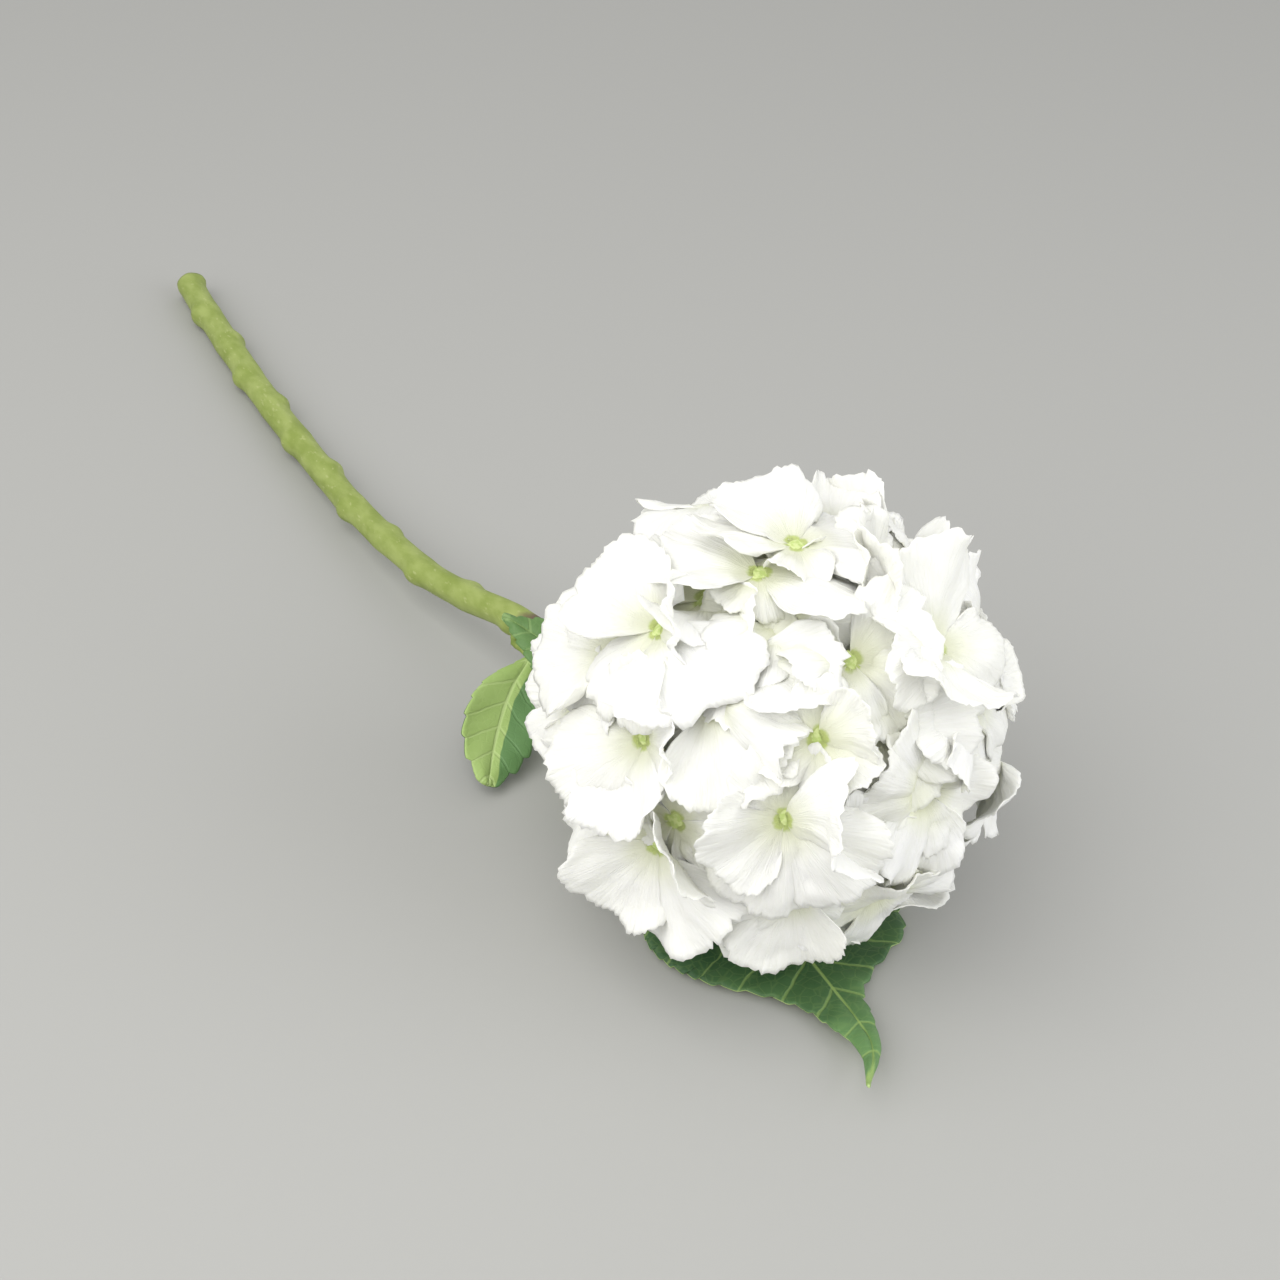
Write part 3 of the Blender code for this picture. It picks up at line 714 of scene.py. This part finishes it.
for tier, bm in tiers.items():
    piece = finished_piece(bm, tier, [silk], "petals", "flower_head")
    piece.vertex_groups.new(name="thickness")
    solid = piece.modifiers.new("solid", "SOLIDIFY")
    solid.thickness = PETAL_THICKNESS
    solid.offset = 0
    solid.vertex_group = "thickness"
    solid.thickness_vertex_group = THINNEST_SHARE


# Eyes
# The middle of each floret is a small four-lobed green button, the closed true flower, that sits
# in the dip where the petals meet.
EYE_RADIUS = 0.0028
EYE_HEIGHT = 0.0004
EYE_STAND = 0.0003
EYE_LOBE = 0.16
EYE_CREASE = 0.3

bm = bmesh.new()
for place, eye_frame, outward in eyes:
    ball = bmesh.ops.create_uvsphere(bm, u_segments=24, v_segments=12, radius=1)
    for vert in ball["verts"]:
        around = math.atan2(vert.co.y, vert.co.x)
        lobes = 1 + EYE_LOBE * math.cos(4 * around)
        crease = 1 - EYE_CREASE * (1 - abs(math.sin(2 * around))) * vert.co.z
        x, y = (EYE_RADIUS * lobes * part for part in vert.co.xy)
        vert.co = place + eye_frame @ Vector((x, y, EYE_STAND + EYE_HEIGHT * vert.co.z * crease))
eye_green, wire, shader = new_material("eye_green", {"Roughness": 0.7})
spots = wire.node("ShaderNodeTexCoord", output="Object").noise(700, 3)
green = spots.steps(0.4, 0.6).paints(colour(190, 210, 128), colour(214, 227, 158))
connect(green, shader["Base Color"])
raise_by(spots, 0.0004, shader["Normal"])
finished_piece(bm, "eyes", [eye_green], "petals", "flower_head")


# Stalks
# Each floret stands on a thin green stalk. The stalks spread from the top of the stem, bend
# outwards and end under the eyes, and show in the gaps between petals.
STALK_RADIUS = 0.0009
STALK_SIDES = 8
STALK_STEP = 0.004
STALK_SEED = 5
STALK_BEND = 0.007
STALK_SPREAD = 0.6
UNDER_EYE = 0.0006
HUB_RADIUS = 0.013
HUB_LUMPS = 0.10
ROOT_SHARE = 0.4

bm = bmesh.new()
bm.loops.layers.uv.new("UVMap")
draw = random.Random(STALK_SEED)
hub = bmesh.ops.create_icosphere(bm, subdivisions=4, radius=HUB_RADIUS)
for vert in hub["verts"]:
    lump = math.prod(math.sin(700 * part) for part in vert.co)
    vert.co = HEAD_CENTRE + (1 + HUB_LUMPS * lump) * vert.co
for place, eye_frame, outward in eyes:
    root = HEAD_CENTRE + ROOT_SHARE * HUB_RADIUS * outward
    bend = Vector([draw.uniform(-STALK_BEND, STALK_BEND) for _ in range(3)])
    middle = (root + place) / 2 + bend
    end = place - UNDER_EYE * outward
    line = smooth_route((root, middle, end), STALK_STEP)
    last = len(line) - 1
    tube(
        bm,
        line,
        lambda row, angle: STALK_RADIUS * (1 + STALK_SPREAD - STALK_SPREAD * row / last),
        STALK_SIDES,
    )
stalk_green, wire, shader = new_material("stalk_green", {"Roughness": 0.6})
cloud = wire.node("ShaderNodeTexCoord", output="Object").noise(150, 3)
green = cloud.steps(0.35, 0.65).paints(colour(118, 140, 62), colour(164, 178, 98))
connect(green, shader["Base Color"])
raise_by(cloud, 0.0005, shader["Normal"])
finished_piece(bm, "stalks", [stalk_green], "stem", "flower_head")


# Leaves
# Three toothed leaves, deep green above and pale below, quilted between sunken veins. The front one
# ends in a long tip, the low one is turned over, and each hangs on a short green leaf stalk.
LEAF_THICKNESS = 0.0007
LEAF_RIM_SHARE = 0.5
LEAF_STEP = 0.0004
LEAF_COLUMNS = 32
ROWS_PER_TOOTH = 8
TOOTH_BACK = 0.72
TOOTH_OUT = 0.16
TOOTH_FORWARD = 0.22
LAST_TEETH = (0.62, 0.80)
MARGIN_DRAWN_IN = 0.05
LEAF_RISE = 2.3
LEAF_BASE_RISE = 20
LEAF_BASE_FROM = -0.010
LEAF_SETTLING = 0.02
WAVE = 0.0012
VEIN_SLOPE = 0.95
VEIN_BEND = 5.0
PETIOLE_RADII = (0.0022, 0.0014)
PETIOLE_STEP = 0.0015
PETIOLE_SIDES = 14


def ease(start, end, value):
    """Goes smoothly from 0, where the value is the start, to 1, where it is the end."""
    value = min(1, max(0, (value - start) / (end - start)))
    return value * value * (3 - 2 * value)


def drawn_out(t, right):
    """The front leaf's half width, as a share: broad, then drawn out to a long tip."""
    t = 0.03 + 0.97 * t
    share = 1.22 * max(0.0, math.sin(math.pi * t ** 0.62)) ** 0.9 * (1 - t) ** 0.5
    narrowed = 0.72 * ease(0.46, 0.65, t) if right else 0.48 * ease(0.42, 0.66, t)
    return share * (1 - narrowed)


def blunt(t, right):
    """The low leaf's half width, as a share: narrow at its base and broad near its end."""
    t = 0.02 + 0.98 * t
    return max(0.0, math.sin(math.pi * t ** 1.35)) ** 0.8


def pointed(t, right):
    """The back leaf's half width, as a share, with a plain point."""
    t = 0.03 + 0.97 * t
    return 1.15 * max(0.0, math.sin(math.pi * t ** 0.75)) ** 0.9 * (1 - t) ** 0.28


def front_leaf_height(x, y, wave):
    """Flat on the table under the head, dished up towards the margins and the base."""
    reach = max(0.0, math.hypot(x, y) - FLAT_RADIUS)
    base = max(0.0, LEAF_BASE_FROM - x)
    settled = min(1.0, reach / LEAF_SETTLING)
    return max(0.0, LEAF_RISE * reach ** 2 + LEAF_BASE_RISE * base ** 2 + 0.5 * settled * wave)


def tooth_at(t, teeth):
    """0 between two teeth and 1 at a tooth's forward-pointing tip."""
    phase = (t * teeth) % 1
    if phase < TOOTH_BACK:
        return (phase / TOOTH_BACK) ** 0.8
    return (1 - phase) / (1 - TOOTH_BACK)


def leaf_green(name, paints, spacing, half_width, turned=None):
    """Leaf green with a pale midrib, side veins that run forward, a fine net of veins, and painted
    light that makes a long blade lighter towards its tip.

    paints are the dark and light greens and the veins' own. spacing is that of the side veins,
    which are thinnest at half_width. turned says how far right of the midrib this side is painted
    a darker green instead, as a strip along that margin."""
    material, wire, shader = new_material(name, {"Roughness": 0.5, "Specular IOR Level": 0.4})
    dark, light, rib = paints
    uv = wire.node("ShaderNodeUVMap", {"uv_map": "veins"})
    aside = wire.node("ShaderNodeSeparateXYZ", None, {0: uv})
    ahead = aside.output("Y")
    side = abs(aside)
    wander = 0.004 * uv.noise(60, 2)
    ranks = (ahead - side * VEIN_SLOPE + side * side * VEIN_BEND + wander) / spacing
    apart = abs(ranks.math("FRACT") - 0.5) * spacing
    outer = side.steps(0, half_width, 0.00035, 0.00010)
    side_veins = (apart - outer).steps(0, 0.0006, 1, 0)
    midrib = (side * (ahead * 9 + 1)).steps(0.0005, 0.0014, 1, 0)
    net = wire.node(
        "ShaderNodeTexVoronoi",
        {"feature": "DISTANCE_TO_EDGE"},
        {"Vector": uv, "Scale": 260.0},
    )
    fine = net.steps(0.0, 0.10, 0.45, 0)
    cloud = uv.noise(35, 3)
    # Painted light: the blade is painted lighter towards its tip, where a long leaf lies out of the
    # head's shade.
    lit_tip = (ahead + 0.03 * cloud).steps(0.070, 0.150)
    green = (cloud.steps(0.3, 0.7, 0, 0.4) + lit_tip).paints(dark, light)
    green = (fine * 0.25).paints(green, rib)
    green = (side_veins * 0.5).paints(green, rib)
    green = (midrib * 0.85).paints(green, rib)
    # Right of the midrib past turned, the blade is painted a darker green, as a strip along the
    # margin.
    if turned:
        darker_strip = (aside + wander).steps(turned, turned + 0.0005)
        green = darker_strip.paints(green, DEEP_GREEN[1])
    connect(green, shader["Base Color"])
    veins = side_veins.math("MAXIMUM", midrib)
    grain = 0.25 * uv.noise(900, 2)
    raise_by(veins * -0.7 + fine * -0.3 + grain, 0.0005, shader["Normal"], 0.6)
    return material


def leaf(
    name,
    top,
    under,
    route,
    petiole,
    shape,
    half_width,
    fold,
    roll,
    lay,
    teeth,
    spacing,
    quilted,
    turned=None,
):
    """A toothed blade shaped from a grid along its midrib, and the stalk that carries it.

    top and under are the paints of the side that faces up as the leaf lies, and of the other.
    shape gives the half width, as a share of half_width, at a share of the length and a side.
    fold lifts both halves from the midrib, and roll turns the blade round it at its base and at its
    tip, in degrees. lay gives the heights of a blade that lies on the table. quilted is how high
    the blade stands between its side veins. spacing and turned are those of leaf_green."""
    line = smooth_route(route, LEAF_STEP)
    directions = tangents(line)
    tooth_length = LEAF_STEP * len(line) / teeth
    rows, columns = ROWS_PER_TOOTH * teeth, LEAF_COLUMNS
    bm = bmesh.new()
    veins = bm.loops.layers.uv.new("veins")
    thickness = bm.verts.layers.deform.verify()
    grid = bmesh.ops.create_grid(bm, x_segments=columns, y_segments=rows, size=1)
    flat_places = {}
    for index, vert in enumerate(grid["verts"]):
        row, column = divmod(index, columns + 1)
        t = row / rows
        aside = 2 * column / columns - 1
        at = min(len(line) - 1, round(t * (len(line) - 1)))
        side, rise = across(directions[at])
        turn = math.radians(roll[0] + (roll[1] - roll[0]) * t)
        side, rise = (
            math.cos(turn) * side + math.sin(turn) * rise,
            math.cos(turn) * rise - math.sin(turn) * side,
        )
        tooth = tooth_at(t, teeth) * abs(aside) ** 3
        if lay:
            # The long tip of the leaf that lies on the table has no teeth.
            tooth *= 1 - ease(*LAST_TEETH, t)
        half = half_width * shape(t, aside > 0) * (1 - MARGIN_DRAWN_IN * abs(aside) ** 3)
        half += TOOTH_OUT * tooth_length * tooth
        reach = half * aside
        bend = math.radians(fold)
        wave = WAVE * math.sin(9 * t + 3 * aside) * abs(aside)
        flat_places[vert] = (reach, LEAF_STEP * at)
        rank = (LEAF_STEP * at - abs(reach) * VEIN_SLOPE + reach ** 2 * VEIN_BEND) / spacing
        between_veins = abs(math.sin(math.pi * (rank - 0.5)))
        quilt = quilted * between_veins * math.sin(math.pi * abs(aside)) ** 0.5
        point = line[at] + reach * math.cos(bend) * side
        point += TOOTH_FORWARD * tooth_length * tooth * directions[at]
        point += (abs(reach) * math.sin(bend) + wave + quilt) * rise
        if lay:
            point.z = lay(point.x, point.y, wave) + quilt
        vert.co = point
        on_rim = row in (0, rows) or column in (0, columns)
        vert[thickness][0] = LEAF_RIM_SHARE if on_rim else 1.0
    for face in bm.faces:
        for loop in face.loops:
            loop[veins].uv = flat_places[loop.vert]
    bmesh.ops.remove_doubles(bm, verts=bm.verts, dist=1e-6)
    faces = [
        leaf_green(name + "_under", under, spacing, half_width),
        leaf_green(name + "_top", top, spacing, half_width, turned),
    ]
    piece = finished_piece(bm, name + "_blade", faces, "leaves", name)
    piece.vertex_groups.new(name="thickness")
    solid = piece.modifiers.new("solid", "SOLIDIFY")
    solid.thickness = LEAF_THICKNESS
    solid.offset = -1
    solid.material_offset = 1
    solid.vertex_group = "thickness"
    solid.thickness_vertex_group = THINNEST_SHARE
    bm = bmesh.new()
    bm.loops.layers.uv.new("UVMap")
    line = smooth_route(petiole, PETIOLE_STEP)
    last = len(line) - 1
    thick, thin = PETIOLE_RADII
    tube(bm, line, lambda row, angle: thick + (thin - thick) * row / last, PETIOLE_SIDES)
    finished_piece(bm, name + "_stalk", [stalk_green], "leaves", name)


# The paints of a side: its dark and light greens, and its veins'.
DEEP_GREEN = (colour(50, 82, 52), colour(102, 140, 88), colour(150, 178, 104))
MIDDLE_GREEN = (colour(92, 128, 72), colour(116, 150, 92), colour(136, 166, 104))
PALE_GREEN = (colour(160, 188, 110), colour(182, 206, 134), colour(188, 210, 142))

leaf(
    "leaf_front",
    top=DEEP_GREEN,
    under=PALE_GREEN,
    route=(
        (-0.022, -0.006, 0.003),
        (0.010, -0.005, 0),
        (0.041, -0.007, 0),
        (0.084, -0.016, 0.007),
        (0.106, -0.034, 0.015),
    ),
    petiole=(
        (-0.0415, -0.0023, 0.0212),
        (-0.036, -0.003, 0.013),
        (-0.028, -0.005, 0.007),
        (-0.019, -0.006, 0.0022),
    ),
    shape=drawn_out,
    half_width=0.047,
    fold=0,
    roll=(0, 0),
    lay=front_leaf_height,
    teeth=22,
    spacing=0.018,
    quilted=0.0009,
)
leaf(
    "leaf_low",
    top=PALE_GREEN,
    under=DEEP_GREEN,
    route=(
        (-0.130, -0.0165, 0.0222),
        (-0.119, -0.033, 0.0175),
        (-0.104, -0.048, 0.0115),
        (-0.089, -0.060, 0.0055),
    ),
    petiole=(
        (-0.1385, -0.0185, 0.0270),
        (-0.1380, -0.0195, 0.0238),
        (-0.1350, -0.0180, 0.0224),
        (-0.1288, -0.0182, 0.0219),
    ),
    shape=blunt,
    half_width=0.0145,
    fold=10,
    roll=(-20, -24),
    lay=None,
    teeth=8,
    spacing=0.011,
    quilted=0.0003,
    turned=0.0050,
)
leaf(
    "leaf_back",
    top=MIDDLE_GREEN,
    under=PALE_GREEN,
    route=(
        (-0.062, -0.016, 0.030),
        (-0.075, -0.0185, 0.039),
        (-0.0935, -0.0275, 0.051),
        (-0.1145, -0.0395, 0.0592),
    ),
    petiole=(
        (-0.045, -0.0098, 0.0274),
        (-0.0465, -0.0135, 0.0274),
        (-0.053, -0.0165, 0.0283),
        (-0.065, -0.0175, 0.0315),
    ),
    shape=pointed,
    half_width=0.021,
    fold=12,
    roll=(-20, -20),
    lay=None,
    teeth=13,
    spacing=0.010,
    quilted=0.0003,
)


# Table and light
# A plain pale table under one large soft light from the photograph's upper left, with a weaker
# cool light from the right and an even grey surround.
TABLE_HALF_SIZE = 4.0
TABLE_DROP = 0.0003
LIGHT_DISTANCE = 1.5
SURROUND_PAINT = (0.83, 0.83, 0.81, 1)
SURROUND_STRENGTH = 0.78

bm = bmesh.new()
bmesh.ops.create_grid(bm, x_segments=1, y_segments=1, size=TABLE_HALF_SIZE)
bmesh.ops.translate(bm, verts=bm.verts, vec=(0, 0, -TABLE_DROP))
mesh = bpy.data.meshes.new("table")
bm.to_mesh(mesh)
bm.free()
constants = {"Roughness": 0.9, "Base Color": (0.42, 0.42, 0.41, 1)}
table_pale, wire, shader = new_material("table_pale", constants)
mesh.materials.append(table_pale)
table = bpy.data.objects.new("table", mesh)
bpy.context.scene.collection.objects.link(table)


def soft_light(name, toward, size, watts, paint):
    """A square area light that faces the head from a direction."""
    lamp = bpy.data.lights.new(name, "AREA")
    lamp.size = size
    lamp.energy = watts
    lamp.color = paint
    light = bpy.data.objects.new(name, lamp)
    toward = Vector(toward).normalized()
    light.location = HEAD_CENTRE + LIGHT_DISTANCE * toward
    light.rotation_euler = toward.to_track_quat("Z", "Y").to_euler()
    bpy.context.scene.collection.objects.link(light)


soft_light("key_light", (0.10, -0.68, 0.80), size=1.8, watts=21, paint=(1.0, 0.99, 0.965))
soft_light("cool_light", (0.75, 0.55, 0.45), size=1.4, watts=10, paint=(0.97, 0.98, 1.0))
world = bpy.data.worlds.new("surround")
world.use_nodes = True
background = world.node_tree.nodes["Background"].inputs
background["Color"].default_value = SURROUND_PAINT
background["Strength"].default_value = SURROUND_STRENGTH
bpy.context.scene.world = world
bpy.context.scene.view_settings.view_transform = "Standard"
